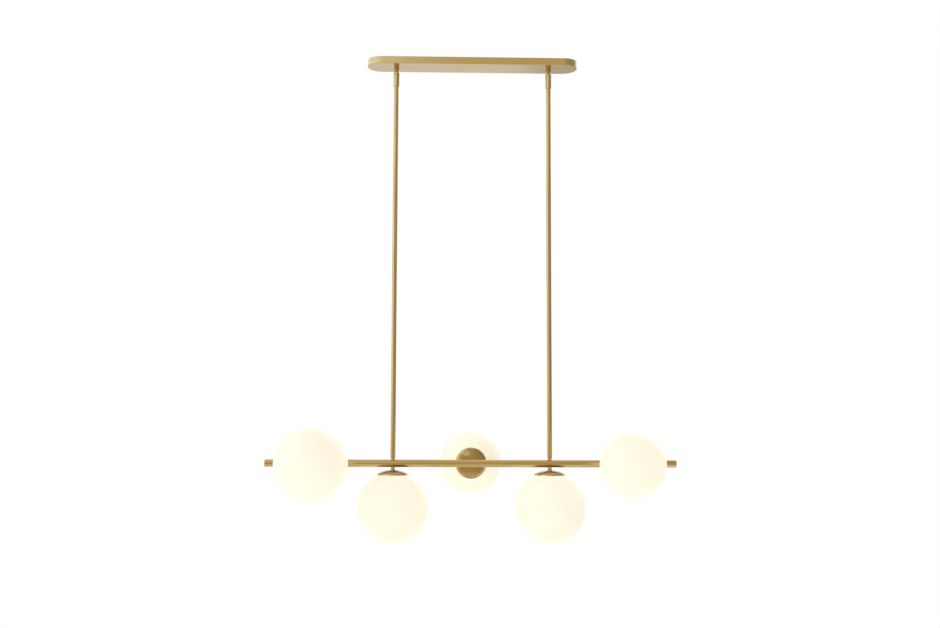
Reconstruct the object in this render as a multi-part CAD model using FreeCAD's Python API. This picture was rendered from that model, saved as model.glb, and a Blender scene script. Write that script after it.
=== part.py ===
"""Linear island pendant: a racetrack canopy, two ball swivels, two rods, a bar and five globe heads.

Frame: the origin is the centre of the ceiling plane, X runs along the bar, -Y faces the viewer and
+Z points up. All sizes are millimetres. A lamp head is drawn in its own frame, whose Z axis leaves
the bar at its middle; "out" in a comment means along that axis.
"""
import FreeCAD
import Part
import math
import os

Vector = FreeCAD.Vector
UP = Vector(0, 0, 1)

# Ceiling canopy: a shallow drawn pan with a racetrack outline
canopy_length = 616.0
canopy_width = 86.0
canopy_height = 21.0
canopy_wall = 1.0
canopy_bend_radius = 0.6

# Mounting bracket: a steel strap with a well round each spigot, so that the nuts clear the ceiling
bracket_end_gap = 26.0
bracket_width = 30.0
bracket_thickness = 2.0
bracket_well_width = 30.0
bracket_ramp_angle = 45.0
bracket_bend_radius = 1.0
box_slot_spacing = 89.0
box_slot_length = 22.0
box_slot_width = 5.0
anchor_hole_inset = 12.0
anchor_hole_diameter = 5.5
earth_screw_offset = 85.0

# Swivels
seat_diameter = 16.0
seat_height = 12.5
seat_round = 3.4
spigot_diameter = 10.0
spigot_end_clearance = 8.0
ball_diameter = 14.4
ball_fit = 0.05
neck_diameter = 7.2
neck_wire_bore = 4.8
stud_thread_diameter = 8.2
stud_thread_length = 11.0
swivel_gap = 3.5
barrel_diameter = 18.0
barrel_length = 41.0
barrel_edge = 0.6
ball_depth = 7.5
mouth_throat_diameter = 11.8
mouth_top_diameter = 14.0
ball_bore_depth = 25.0

# Rods and the bar
rod_inset = 84.5
rod_diameter = 14.0
rod_wall = 1.3
rod_edge = 0.3
lower_rod_length = 364.5
bar_drop = 1175.0
bar_length = 1172.0
bar_diameter = 21.3
bar_wall = 1.5
plug_flange = 1.6
plug_spigot = 9.0
plug_edge = 0.7
bush_length = 24.0
bush_wire_bore = 6.4
insert_length = 16.0

# Threaded fittings (plain here, at the thread's outer diameter)
nipple_diameter = 8.0
nipple_bore = 5.4
nipple_edge = 0.4
rod_nipple_length = 30.0
nipple_start = 4.0
thread_gap = 0.05
passing_gap = 0.1
spigot_gap = 0.2
nut_height = 4.0
spigot_nut_flats = 14.0
head_nut_flats = 13.0
washer_thickness = 1.0
spigot_washer_diameter = 18.0
head_washer_diameter = 16.0

# Lamp heads; an angle is the turn about X that brings "up" to "out"
front_head_spacing = 887.0
front_head_angle = 90.0
lower_head_angle = 180.0
back_head_angle = -90.0
spacer_height = 7.8
spacer_diameter = 11.8
spacer_foot_diameter = 14.0
spacer_foot_height = 1.6
spacer_foot_round = 0.8
cap_dome_radius = 100.0
cap_crease_diameter = 65.0
cap_crease_step = 0.8
cap_shoulder_radius = 15.5
cap_rim_diameter = 89.0
cap_height = 14.0
cap_wall = 1.2
carrier_diameter = 52.0
carrier_wall = 1.2
carrier_length = 11.6
carrier_boss_diameter = 18.0
carrier_bend_radius = 0.8
socket_diameter = 35.0
socket_length = 38.0
socket_entry_diameter = 20.0
socket_taper = 7.0
socket_floor = 11.0
socket_cavity_diameter = 28.6
socket_edge = 1.0
socket_gap = 0.4
nipple_engagement = 4.5
shell_wall = 0.7
shell_height = 22.5
shell_lift = 3.0
contact_height = 1.6
contact_width = 6.0
contact_thickness = 0.4
contact_tongue_end = 3.0
contact_tongue_length = 4.5
contact_ramp_length = 3.0
contact_foot_length = 5.0

# Globes and their collars
large_globe_diameter = 203.0
small_globe_diameter = 184.0
glass_wall = 2.2
glass_opening_diameter = 61.3
rim_gap = 1.2
collar_gap = 0.32
collar_wall = 4.0
collar_flange_diameter = 66.0
collar_lip_diameter = 65.0
collar_lip_height = 4.0
collar_inset = 2.9
lip_chamfer = 1.5

# Bulbs: globe-shaped, on a medium screw base
bulb_diameter = 46.0
bulb_length = 80.0
bulb_wall = 0.9
bulb_neck_diameter = 24.0
bulb_blend_angle = 50.0
base_diameter = 26.0
base_wall = 0.6
base_length = 27.5
base_tip_diameter = 9.6
base_tip_gap = 0.3
base_tip_crown = 1.0
base_cone_start = 1.8
base_cone_top = 4.6
base_floor = 9.0
base_flare = 0.3
base_flare_length = 1.2
glass_seat_gap = 2.0

# Terminal block
block_length = 38.0
block_width = 20.0
block_base_height = 5.0
block_height = 13.0
block_pole_length = 8.0
block_pole_width = 14.0
block_pole_pitch = 14.0
block_edge = 1.0
block_wire_bore = 3.8
block_screw_bore = 4.0
block_screw_depth = 5.0
screw_diameter = 3.0
screw_head_diameter = 5.4
screw_head_height = 2.0
earth_screw_diameter = 4.0
earth_head_diameter = 8.0
earth_head_height = 2.6

# Levels that follow from the sizes above
seat_bottom = -canopy_height - seat_height
barrel_top = seat_bottom - swivel_gap
barrel_bottom = barrel_top - barrel_length
pivot_level = barrel_top - ball_depth
rod_bottom = -bar_drop + bar_diameter / 2 + spacer_height
rod_seam = rod_bottom + lower_rod_length
bracket_length = canopy_length - 2 * bracket_end_gap
rod_spacing = canopy_length - 2 * rod_inset
well_depth = canopy_height - canopy_wall - nut_height - bracket_thickness
cap_crown = bar_diameter / 2 + spacer_height
cap_rim = cap_crown + cap_height
rod_places = {"left": -rod_spacing / 2, "right": rod_spacing / 2}

# Heads: place along the bar, angle, globe diameter
heads = {
    "front_left": (-front_head_spacing / 2, front_head_angle, large_globe_diameter),
    "lower_left": (-rod_spacing / 2, lower_head_angle, large_globe_diameter),
    "back": (0.0, back_head_angle, small_globe_diameter),
    "lower_right": (rod_spacing / 2, lower_head_angle, large_globe_diameter),
    "front_right": (front_head_spacing / 2, front_head_angle, small_globe_diameter),
}


# Drawing helpers

def turned(start, *legs):
    """Solid of revolution about Z. A leg (r, z) is a line, a leg ((r, z), (r, z)) an arc by way of
    its first point; the last leg closes the profile back to the start."""
    edges = []
    here = Vector(start[0], 0, start[1])
    for leg in legs + (start,):
        if isinstance(leg[0], tuple):
            middle, end = (Vector(r, 0, z) for r, z in leg)
            edges.append(Part.Arc(here, middle, end).toShape())
        else:
            end = Vector(leg[0], 0, leg[1])
            edges.append(Part.makeLine(here, end))
        here = end
    face = Part.Face(Part.Wire(edges))
    return face.revolve(Vector(0, 0, 0), UP, 360)


def on_circle(centre, radius, angle):
    """Point of a profile at an angle from the +r direction, in degrees."""
    turn = math.radians(angle)
    return (centre[0] + radius * math.cos(turn), centre[1] + radius * math.sin(turn))


def arc_by(centre, radius, first, last):
    """Arc leg of a profile about a centre, from the first angle to the last."""
    return (on_circle(centre, radius, (first + last) / 2), on_circle(centre, radius, last))


def angle_from(centre, point):
    """Angle of a point about a centre, in degrees."""
    return math.degrees(math.atan2(point[1] - centre[1], point[0] - centre[0]))


def crown(radius, edge, tip):
    """Crowned end of a turned piece: its point on the axis, its middle, and its edge."""
    rise = tip - edge
    sphere = (radius ** 2 + rise ** 2) / (2 * rise)
    centre = tip - sphere
    middle = math.copysign(math.sqrt(sphere ** 2 - (radius / 2) ** 2), rise)
    return (0, tip), (radius / 2, centre + middle), (radius, edge)


def ring(outer, inner, low, high):
    """Plain ring or tube about Z, between two levels."""
    return turned((inner / 2, low), (outer / 2, low), (outer / 2, high), (inner / 2, high))


def edged_ring(outer, inner, low, high, edge):
    """Tube about Z whose outer corners are chamfered."""
    rim = outer / 2 - edge
    return turned((inner / 2, low), (rim, low), (outer / 2, low + edge), (outer / 2, high - edge),
                  (rim, high), (inner / 2, high))


def hex_nut(flats, bore, low):
    """Hexagon nut with its bore."""
    corner = flats / 2 / math.cos(math.radians(30))
    corners = [Vector(corner * math.cos(math.radians(60 * i)), corner * math.sin(math.radians(60 * i)), low)
               for i in range(7)]
    block = Part.Face(Part.makePolygon(corners)).extrude(UP * nut_height)
    return block.cut(Part.makeCylinder(bore / 2, nut_height, Vector(0, 0, low)))


def racetrack(length, width, level, height):
    """Upright prism whose plan is a rectangle with full round ends."""
    half = (length - width) / 2
    radius = width / 2
    right, left = Vector(half, 0, level), Vector(-half, 0, level)
    side = Vector(0, radius, 0)
    end = Vector(radius, 0, 0)
    wire = Part.Wire([
        Part.makeLine(left - side, right - side),
        Part.Arc(right - side, right + end, right + side).toShape(),
        Part.makeLine(right + side, left + side),
        Part.Arc(left + side, left - end, left - side).toShape(),
    ])
    return Part.Face(wire).extrude(UP * height)


def rounded_below(solid, level, radius):
    """Round the edges that lie in the horizontal plane at a level."""
    edges = [e for e in solid.Edges if abs(e.BoundBox.ZMin - level) + abs(e.BoundBox.ZMax - level) < 1e-6]
    return solid.makeFillet(radius, edges)


def at(shape, x, z=0.0):
    """Copy of a shape moved along the bar and up."""
    moved = shape.copy()
    moved.translate(Vector(x, 0, z))
    return moved


def on_head(shape, head):
    """Copy of a head piece, turned so that it leaves the bar the way this head does."""
    place, tilt, globe = heads[head]
    moved = shape.copy()
    moved.rotate(Vector(0, 0, 0), Vector(1, 0, 0), tilt)
    moved.translate(Vector(place, 0, -bar_drop))
    return moved


def along_bar(shape):
    """Copy of a turned piece laid down, so that its Z axis runs along the bar's +X."""
    moved = shape.copy()
    moved.rotate(Vector(0, 0, 0), Vector(0, 1, 0), 90)
    moved.translate(Vector(0, 0, -bar_drop))
    return moved


# Canopy group

def canopy_cover():
    """Drawn pan, open at the ceiling, with a hole for each spigot."""
    outer = racetrack(canopy_length, canopy_width, -canopy_height, canopy_height)
    outer = rounded_below(outer, -canopy_height, canopy_bend_radius + canopy_wall)
    floor = canopy_wall - canopy_height
    inner = racetrack(canopy_length - 2 * canopy_wall, canopy_width - 2 * canopy_wall, floor, -floor)
    pan = outer.cut(rounded_below(inner, floor, canopy_bend_radius))
    hole = Part.makeCylinder(spigot_diameter / 2 + spigot_gap, canopy_height, Vector(0, 0, -canopy_height))
    return pan.cut([at(hole, x) for x in rod_places.values()])


def strap_corners():
    """Corners of the strap's side view: those of its top, and those of its underside."""
    run = well_depth / math.tan(math.radians(bracket_ramp_angle))
    half = bracket_well_width / 2
    lean = bracket_thickness * math.tan(math.radians(bracket_ramp_angle / 2))
    top = []
    under = []
    for place in rod_places.values():
        for step, depth in ((-half - run, 0), (-half, well_depth), (half, well_depth), (half + run, 0)):
            top.append((place + step, -depth))
            under.append((place + step + math.copysign(lean, step), -depth - bracket_thickness))
    return top, under


def bend_edges(solid, corners):
    """The solid's edges that run across the strap through the given corners."""
    found = []
    for edge in solid.Edges:
        box = edge.BoundBox
        if box.XLength + box.ZLength < 1e-6:
            if any(abs(box.XMin - x) + abs(box.ZMin - z) < 1e-3 for x, z in corners):
                found.append(edge)
    return found


def mounting_bracket():
    """Strap bent into a well at each spigot, with round ends, slots, anchor holes and tapped holes."""
    top, under = strap_corners()
    end = bracket_length / 2
    outline = [(-end, 0)] + top + [(end, 0), (end, -bracket_thickness)] + under[::-1]
    outline += [(-end, -bracket_thickness), (-end, 0)]
    side = Part.makePolygon([Vector(x, -bracket_width / 2, z) for x, z in outline])
    strap = Part.Face(side).extrude(Vector(0, bracket_width, 0))
    tight = [c for c in top if c[1] < 0] + [c for c in under if c[1] > -well_depth]
    wide = [c for c in top if c[1] == 0] + [c for c in under if c[1] < -well_depth]
    strap = strap.makeFillet(bracket_bend_radius, bend_edges(strap, tight))
    strap = strap.makeFillet(bracket_bend_radius + bracket_thickness, bend_edges(strap, wide))
    depth = well_depth + bracket_thickness
    strap = strap.common(racetrack(bracket_length, bracket_width, -depth, depth))

    def drill(diameter, x):
        return Part.makeCylinder(diameter / 2, depth, Vector(x, 0, -depth))

    slot = racetrack(box_slot_length, box_slot_width, -depth, depth)
    cutters = [at(slot, sign * box_slot_spacing / 2) for sign in (-1, 1)]
    cutters += [drill(anchor_hole_diameter, sign * (end - anchor_hole_inset)) for sign in (-1, 1)]
    cutters += [drill(spigot_diameter + 2 * spigot_gap, x) for x in rod_places.values()]
    cutters += [drill(screw_diameter + 2 * thread_gap, x) for x in block_screw_places()]
    cutters.append(drill(earth_screw_diameter + 2 * thread_gap, -earth_screw_offset))
    return strap.cut(cutters)


def swivel_seat(x):
    """Round seat under the canopy, in one piece with the hollow spigot that hangs from the bracket."""
    radius = seat_diameter / 2
    spigot = spigot_diameter / 2 - thread_gap
    spigot_top = -spigot_end_clearance
    bore = stud_thread_diameter / 2 + thread_gap
    bore_top = seat_bottom + stud_thread_length
    corner = (radius - seat_round, seat_bottom + seat_round)
    shape = turned((bore, seat_bottom), (corner[0], seat_bottom), arc_by(corner, seat_round, -90, 0),
                   (radius, -canopy_height), (spigot, -canopy_height), (spigot, spigot_top - nipple_edge),
                   (spigot - nipple_edge, spigot_top), (nipple_bore / 2, spigot_top),
                   (nipple_bore / 2, bore_top), (bore, bore_top))
    return at(shape, x)


def ball_stud(x):
    """Hollow ball, its neck, and the thread that screws up into the seat."""
    centre = (0, pivot_level)
    ball = ball_diameter / 2
    wire = neck_wire_bore / 2
    neck = neck_diameter / 2
    thread = stud_thread_diameter / 2
    neck_angle = math.degrees(math.acos(neck / ball))
    foot = -math.degrees(math.acos((wire + nipple_edge) / ball))
    foot_point = on_circle(centre, ball, foot)
    stud_top = seat_bottom + stud_thread_length
    shape = turned((wire, foot_point[1]), foot_point, arc_by(centre, ball, foot, neck_angle),
                   (neck, seat_bottom), (thread, seat_bottom + thread - neck),
                   (thread, stud_top - nipple_edge), (thread - nipple_edge, stud_top), (wire, stud_top))
    return at(shape, x)


def spigot_nuts():
    """Above each well the nut that carries the load, below it the one that sets the canopy's height."""
    bore = spigot_diameter
    upper = hex_nut(spigot_nut_flats, bore, washer_thickness - well_depth)
    lower = hex_nut(spigot_nut_flats, bore, canopy_wall - canopy_height)
    return [at(nut, x) for x in rod_places.values() for nut in (upper, lower)]


def spigot_washers():
    """Washer between each well and its upper nut."""
    washer = ring(spigot_washer_diameter, spigot_diameter + 2 * passing_gap, -well_depth,
                  washer_thickness - well_depth)
    return [at(washer, x) for x in rod_places.values()]


def block_screw_places():
    """Places along X of the two screws, between the block's poles."""
    return [-block_pole_pitch / 2, block_pole_pitch / 2]


def terminal_block():
    """Moulded block with three poles, each with a wire bore across it and a clamp screw below."""
    top = -bracket_thickness
    base = Part.makeBox(block_length, block_width, block_base_height,
                        Vector(-block_length / 2, -block_width / 2, top - block_base_height))
    pole = Part.makeBox(block_pole_length, block_pole_width, block_height - block_base_height,
                        Vector(-block_pole_length / 2, -block_pole_width / 2, top - block_height))
    low_edges = [e for e in pole.Edges if e.BoundBox.ZMin < top - block_height + 1e-6]
    pole = pole.makeFillet(block_edge, low_edges)
    places = [i * block_pole_pitch for i in (-1, 0, 1)]
    block = base.fuse([at(pole, x) for x in places]).removeSplitter()
    wire_level = top - (block_height + block_base_height) / 2
    wire_start = Vector(0, -block_pole_width / 2, wire_level)
    wire = Part.makeCylinder(block_wire_bore / 2, block_pole_width, wire_start, Vector(0, 1, 0))
    underside = Vector(0, 0, top - block_height)
    clamp = Part.makeCylinder(block_screw_bore / 2, block_screw_depth, underside)
    cutters = [at(tool, x) for x in places for tool in (wire, clamp)]
    fixing = Part.makeCylinder(screw_diameter / 2 + passing_gap, block_height, underside)
    cutters += [at(fixing, x) for x in block_screw_places()]
    return block.cut(cutters)


def pan_screw(diameter, head_diameter, head_height, head_top, tip):
    """Pan-headed screw that points up, with its head below."""
    shank = diameter / 2
    head = head_diameter / 2
    peak, middle, edge = crown(head, head_top - head_height / 2, head_top - head_height)
    return turned(peak, (middle, edge), (head, head_top), (shank, head_top), (shank, tip - nipple_edge),
                  (shank - nipple_edge, tip), (0, tip))


def bracket_screws():
    """The two screws that hold the terminal block, and the earth screw in the strap."""
    tip = -nipple_edge
    block_screw = pan_screw(screw_diameter, screw_head_diameter, screw_head_height,
                            -bracket_thickness - block_base_height, tip)
    earth_screw = pan_screw(earth_screw_diameter, earth_head_diameter, earth_head_height,
                            -bracket_thickness, tip)
    return [at(block_screw, x) for x in block_screw_places()] + [at(earth_screw, -earth_screw_offset)]


# Swivel barrels and rods

def swivel_barrel(x):
    """Barrel that hangs on the ball: a flared mouth, a spherical seat, and a thread for the rod."""
    centre = (0, pivot_level)
    radius = barrel_diameter / 2
    rim = radius - barrel_edge
    seat = ball_diameter / 2 + ball_fit
    throat = mouth_throat_diameter / 2
    throat_angle = math.degrees(math.acos(throat / seat))
    throat_point = on_circle(centre, seat, throat_angle)
    bore_floor = barrel_top - ball_bore_depth
    thread = nipple_diameter / 2
    mouth = (mouth_top_diameter / 2, barrel_top)
    shape = turned((thread, barrel_bottom), (rim, barrel_bottom), (radius, barrel_bottom + barrel_edge),
                   (radius, barrel_top - barrel_edge), (rim, barrel_top), mouth, throat_point,
                   arc_by(centre, seat, throat_angle, 0), (seat, bore_floor), (thread, bore_floor))
    return at(shape, x)


def rod_section(x, low, high):
    """Length of rod tube; the small edges make the seam where two lengths meet."""
    return at(edged_ring(rod_diameter, rod_diameter - 2 * rod_wall, low, high, rod_edge), x)


def rod_ends():
    """Levels of the rod tubes' ends, each with +1 where the tube goes up from it and -1 where down."""
    return [(barrel_bottom, -1), (rod_seam, 1), (rod_seam, -1), (rod_bottom, 1)]


def rod_inserts():
    """Threaded insert in each end of each tube."""
    outer = rod_diameter - 2 * rod_wall - 2 * thread_gap
    inserts = []
    for x in rod_places.values():
        for level, way in rod_ends():
            low, high = sorted((level, level + way * insert_length))
            inserts.append(at(ring(outer, nipple_diameter, low, high), x))
    return inserts


def nipple(low, high):
    """Hollow threaded nipple."""
    return edged_ring(nipple_diameter - 2 * thread_gap, nipple_bore, low, high, nipple_edge)


def rod_nipples():
    """Nipples at each swivel barrel, each seam, and each rod's foot where it enters the bar."""
    half = rod_nipple_length / 2
    bar_end = -bar_drop + nipple_start
    spans = [(barrel_bottom - half, barrel_bottom + half), (rod_seam - half, rod_seam + half),
             (bar_end, bar_end + rod_nipple_length)]
    return [at(nipple(low, high), x) for x in rod_places.values() for low, high in spans]


# Bar

def nipple_hole(depth):
    """Cutter for a nipple's hole, from a depth near the bar's axis out through its wall."""
    return Part.makeCylinder(nipple_diameter / 2, bar_diameter, Vector(0, 0, depth))


def bar_holes(depth):
    """The holes of all heads, and those of both rods in the top of the bar."""
    holes = [on_head(nipple_hole(depth), head) for head in heads]
    return holes + [at(nipple_hole(depth), x, -bar_drop) for x in rod_places.values()]


def bar_tube():
    """Round tube with a hole for every nipple."""
    half = bar_length / 2 - plug_flange
    tube = along_bar(ring(bar_diameter, bar_diameter - 2 * bar_wall, -half, half))
    return tube.cut(bar_holes(0))


def bar_bushes():
    """Bush in the bar behind every head: a cross hole for the nipples and a channel for the wires."""
    outer = bar_diameter - 2 * bar_wall - 2 * thread_gap
    half = bush_length / 2
    blank = along_bar(ring(outer, bush_wire_bore, -half, half))
    holes = bar_holes(0)
    return [at(blank, place).cut(holes) for place, tilt, globe in heads.values()]


def bar_end_plugs():
    """Plug in each end of the bar, with a crowned edge."""
    radius = bar_diameter / 2
    spigot = radius - bar_wall - thread_gap
    face = bar_length / 2
    seat = face - plug_flange
    corner = (radius - plug_edge, face - plug_edge)
    plug = turned((0, seat - plug_spigot), (spigot - nipple_edge, seat - plug_spigot),
                  (spigot, seat - plug_spigot + nipple_edge), (spigot, seat), (radius, seat),
                  (radius, face - plug_edge), arc_by(corner, plug_edge, 0, 90), (0, face))
    right = along_bar(plug)
    left = right.copy()
    left.rotate(Vector(0, 0, 0), UP, 180)
    return [left, right]


# Lamp heads, drawn with the bar's axis at the origin and Z out

def saddle_spacer():
    """Turned spacer with a saddle that sits on the bar and a foot at its outer end."""
    shank = spacer_diameter / 2
    foot = spacer_foot_diameter / 2
    bore = nipple_diameter / 2 + passing_gap
    foot_low = cap_crown - spacer_foot_height
    corner = (foot - spacer_foot_round, foot_low + spacer_foot_round)
    blank = turned((bore, 0), (shank, 0), (shank, foot_low), (corner[0], foot_low),
                   arc_by(corner, spacer_foot_round, -90, 0), (foot, cap_crown), (bore, cap_crown))
    start = Vector(-bar_diameter / 2, 0, 0)
    return blank.cut(Part.makeCylinder(bar_diameter / 2, bar_diameter, start, Vector(1, 0, 0)))


def rod_feet():
    """The same spacer, turned foot up, between the bar and each rod."""
    return [at(saddle_spacer(), x, -bar_drop) for x in rod_places.values()]


def cap_corner():
    """Where the cap's shoulder starts, outside its crease."""
    crease = cap_crease_diameter / 2
    dome_drop = cap_dome_radius - math.sqrt(cap_dome_radius ** 2 - crease ** 2)
    return (crease + cap_crease_step, cap_crown + dome_drop + cap_crease_step)


def shoulder_centre():
    """Centre of the shoulder's arc, which runs from the crease to the rim."""
    start = cap_corner()
    end = (cap_rim_diameter / 2, cap_rim)
    across, down = end[0] - start[0], end[1] - start[1]
    chord = math.hypot(across, down)
    reach = math.sqrt(cap_shoulder_radius ** 2 - chord ** 2 / 4)
    middle = ((start[0] + end[0]) / 2, (start[1] + end[1]) / 2)
    return (middle[0] - reach * down / chord, middle[1] + reach * across / chord)


def cap():
    """Spun cap: a shallow dome, a crease, and a round shoulder down to a rim trimmed square."""
    dome = (0, cap_crown + cap_dome_radius)
    crease = (cap_crease_diameter / 2, cap_corner()[1] - cap_crease_step)
    start = cap_corner()
    rim = (cap_rim_diameter / 2, cap_rim)
    shoulder = shoulder_centre()
    first, last = angle_from(shoulder, start), angle_from(shoulder, rim)
    hole = nipple_diameter / 2 + passing_gap

    def dome_level(r, offset):
        return dome[1] - math.sqrt((cap_dome_radius - offset) ** 2 - r ** 2)

    outer_dome = arc_by(dome, cap_dome_radius, angle_from(dome, (hole, dome_level(hole, 0))),
                        angle_from(dome, crease))
    inner_radius = cap_dome_radius - cap_wall
    inner_crease = (crease[0] - cap_wall / 2, dome_level(crease[0] - cap_wall / 2, cap_wall))
    inner_dome = arc_by(dome, inner_radius, angle_from(dome, inner_crease),
                        angle_from(dome, (hole, dome_level(hole, cap_wall))))
    inner_shoulder = cap_shoulder_radius - cap_wall
    inner_last = math.degrees(math.asin((cap_rim - shoulder[1]) / inner_shoulder))
    return turned((hole, dome_level(hole, 0)), outer_dome, start,
                  arc_by(shoulder, cap_shoulder_radius, first, last),
                  on_circle(shoulder, inner_shoulder, inner_last),
                  arc_by(shoulder, inner_shoulder, inner_last, first), inner_crease, inner_dome)


def carrier_floor():
    """Level of the carrier's flat floor, clear of the dome above the sleeve's corner."""
    inner = cap_dome_radius - cap_wall
    drop = inner - math.sqrt(inner ** 2 - (carrier_diameter / 2) ** 2)
    return cap_crown + cap_wall + drop + spigot_gap


def globe_carrier():
    """Sleeve with the outside thread that the globe's collar screws onto."""
    outer = carrier_diameter / 2
    inner = outer - carrier_wall
    boss = carrier_boss_diameter / 2
    bore = nipple_diameter / 2 + passing_gap
    floor = carrier_floor()
    dome = cap_dome_radius - cap_wall
    boss_top = cap_crown + cap_wall + dome - math.sqrt(dome ** 2 - boss ** 2)
    bend = carrier_bend_radius + carrier_wall
    corner = (outer - bend, floor + bend)
    return turned((bore, boss_top), (boss, boss_top), (boss, floor), (corner[0], floor),
                  arc_by(corner, bend, -90, 0), (outer, floor + carrier_length),
                  (inner, floor + carrier_length), (inner, corner[1]),
                  arc_by(corner, carrier_bend_radius, 0, -90), (bore, floor + carrier_wall))


def head_washer():
    """Washer on the carrier's floor."""
    low = carrier_floor() + carrier_wall
    return ring(head_washer_diameter, nipple_diameter + 2 * passing_gap, low, low + washer_thickness)


def head_nut():
    """Nut that clamps spacer, cap and carrier together."""
    return hex_nut(head_nut_flats, nipple_diameter, carrier_floor() + carrier_wall + washer_thickness)


def socket_low():
    """Level of the socket's entry, just clear of the nut."""
    return carrier_floor() + carrier_wall + washer_thickness + nut_height + socket_gap


def head_nipple():
    """Hollow nipple from the bush in the bar to the socket's entry."""
    return nipple(nipple_start, socket_low() + nipple_engagement)


def lamp_socket():
    """Porcelain socket: a tapered back with the threaded entry, and a deep cavity."""
    low = socket_low()
    high = low + socket_length
    outer = socket_diameter / 2
    cavity = socket_cavity_diameter / 2
    entry = nipple_diameter / 2
    corner = (outer - socket_edge, high - socket_edge)
    return turned((entry, low), (socket_entry_diameter / 2, low), (outer, low + socket_taper),
                  (outer, high - socket_edge), arc_by(corner, socket_edge, 0, 90), (cavity, high),
                  (cavity, low + socket_floor), (entry, low + socket_floor))


def contact_level():
    """Level of the top of the socket's centre contact."""
    return socket_low() + socket_floor + contact_height


def socket_contact():
    """Folded spring leaf: a foot on the socket's floor, a ramp, and the tongue the bulb's tip meets."""
    floor = socket_low() + socket_floor
    under = contact_level() - contact_thickness
    high_bend = contact_tongue_end - contact_tongue_length
    low_bend = high_bend - contact_ramp_length
    start = low_bend - contact_foot_length
    lean = contact_thickness * math.tan(math.atan2(under - floor, contact_ramp_length) / 2)
    lower = [(start, floor), (low_bend, floor), (high_bend, under), (contact_tongue_end, under)]
    upper = [(x - shift, z + contact_thickness) for (x, z), shift in zip(lower, (0, lean, lean, 0))]
    corners = lower + upper[::-1] + lower[:1]
    side = Part.makePolygon([Vector(x, -contact_width / 2, z) for x, z in corners])
    return Part.Face(side).extrude(Vector(0, contact_width, 0))


def socket_shell():
    """Screw shell in the cavity, with an inturned flange at its back."""
    outer = socket_cavity_diameter / 2 - thread_gap
    inner = outer - shell_wall
    low = socket_low() + socket_floor + shell_lift
    flange = inner - 2 * shell_wall
    return turned((flange, low), (outer, low), (outer, low + shell_height), (inner, low + shell_height),
                  (inner, low + shell_wall), (flange, low + shell_wall))


# Globe and collar

def glass_centre(globe):
    """Level of a globe's centre, for its glass to stand one rim gap off the cap."""
    return cap_rim + rim_gap + math.sqrt(globe ** 2 - cap_rim_diameter ** 2) / 2


def opening_angle(globe):
    """Angle between the globe's axis and the middle of the glass at its opening."""
    middle = globe / 2 - glass_wall / 2
    return math.degrees(math.asin((glass_opening_diameter + glass_wall) / 2 / middle))


def glass_globe(globe):
    """Blown opal globe with a round, fire-polished edge at its opening."""
    centre = (0, glass_centre(globe))
    outer = globe / 2
    inner = outer - glass_wall
    edge = opening_angle(globe) - 90
    bead = on_circle(centre, outer - glass_wall / 2, edge)
    bead_tip = on_circle(bead, glass_wall / 2, edge - 90)
    return turned((0, centre[1] + outer), arc_by(centre, outer, 90, edge),
                  (bead_tip, on_circle(centre, inner, edge)), arc_by(centre, inner, edge, 90))


def globe_collar(globe):
    """Moulded ring with an inside thread: a flange outside the glass and a snap lip inside it."""
    bore = carrier_diameter / 2 + collar_gap
    spigot = bore + collar_wall
    flange = collar_flange_diameter / 2
    lip = collar_lip_diameter / 2
    top = carrier_floor() + collar_inset
    edge = opening_angle(globe) - 90
    bead_level = on_circle((0, glass_centre(globe)), (globe - glass_wall) / 2, edge)[1]
    flange_low = bead_level - glass_wall / 2 - collar_gap
    inner_glass = glass_centre(globe) - math.sqrt((globe / 2 - glass_wall) ** 2 - lip ** 2)
    lip_low = inner_glass + collar_gap
    end = lip_low + collar_lip_height
    return turned((bore, top), (flange, top), (flange, flange_low), (spigot, flange_low), (spigot, lip_low),
                  (lip, lip_low), (lip, lip_low + lip_chamfer), (spigot, end), (bore + lip_chamfer, end),
                  (bore, end - lip_chamfer))


# Bulb

def bulb_tip():
    """Level of the tip of the bulb's base, just off the socket's contact."""
    return contact_level() + base_tip_gap


def bulb_base():
    """Screw base: a contact tip, an insulating cone, and a shell with a flared rim."""
    tip = bulb_tip()
    outer = base_diameter / 2
    inner = outer - base_wall
    shell = tip + base_cone_top
    end = tip + base_length
    rim = end - base_flare_length
    peak, middle, edge = crown(base_tip_diameter / 2, tip + base_tip_crown, tip)
    return turned(peak, (middle, edge), (edge[0], tip + base_cone_start), (outer - base_wall, shell),
                  (outer, shell + base_wall), (outer, rim), (outer + base_flare, end),
                  (inner + base_flare, end), (inner, rim), (inner, tip + base_floor), (0, tip + base_floor))


def bulb_glass():
    """Bulb glass: a straight neck that curves out into a sphere, open at the neck."""
    ball = bulb_diameter / 2
    centre = (0, bulb_tip() + bulb_length - ball)
    neck = bulb_neck_diameter / 2
    low = bulb_tip() + base_floor + glass_seat_gap
    join = bulb_blend_angle - 90
    joint = on_circle(centre, ball, join)
    blend = (joint[0] - neck) / (1 - math.cos(math.radians(join)))
    waist = on_circle(joint, blend, join)
    inner = ball - bulb_wall
    turn = 180 + join
    return turned((neck - bulb_wall, low), (neck, low), (neck, waist[1]), arc_by(waist, blend, 180, turn),
                  arc_by(centre, ball, join, 90), (0, centre[1] + inner), arc_by(centre, inner, 90, join),
                  arc_by(waist, blend + bulb_wall, turn, 180))


# Assembly

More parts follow.
